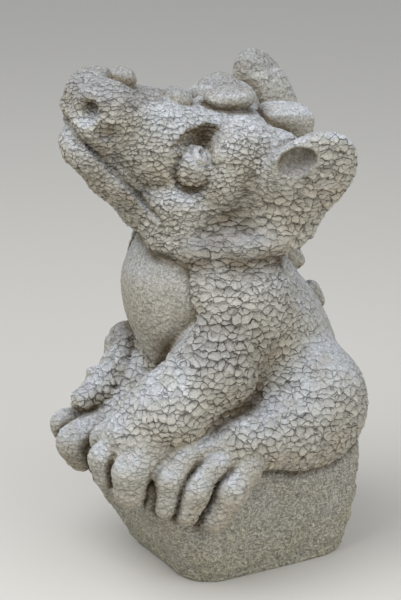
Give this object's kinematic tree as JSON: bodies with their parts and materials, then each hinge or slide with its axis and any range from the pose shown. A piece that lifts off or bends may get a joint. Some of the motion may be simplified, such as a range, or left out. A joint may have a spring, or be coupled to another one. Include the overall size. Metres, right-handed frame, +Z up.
{
  "type": "garden dragon statue",
  "caption": "Cast-stone garden statue of a young dragon seated on a rock, head raised and tilted, with leaf-shaped ears, crackled skin, a smooth bib and its tail wrapped round to the front.",
  "frame": {"origin": "the flat underside of the rock, near the middle of that face, on the plane between the dragon's left and right sides", "axes": "+Z up, the dragon faces -Y, its left side is +X"},
  "size_m": [0.1746, 0.2062, 0.3208],
  "materials": {
    "cast_stone": "weathered matt cast stone, pale grey-beige with brown stain in the creases"
  },
  "bodies": {
    "root": {"dragon_casting": "cast_stone"}
  },
  "joints": []
}
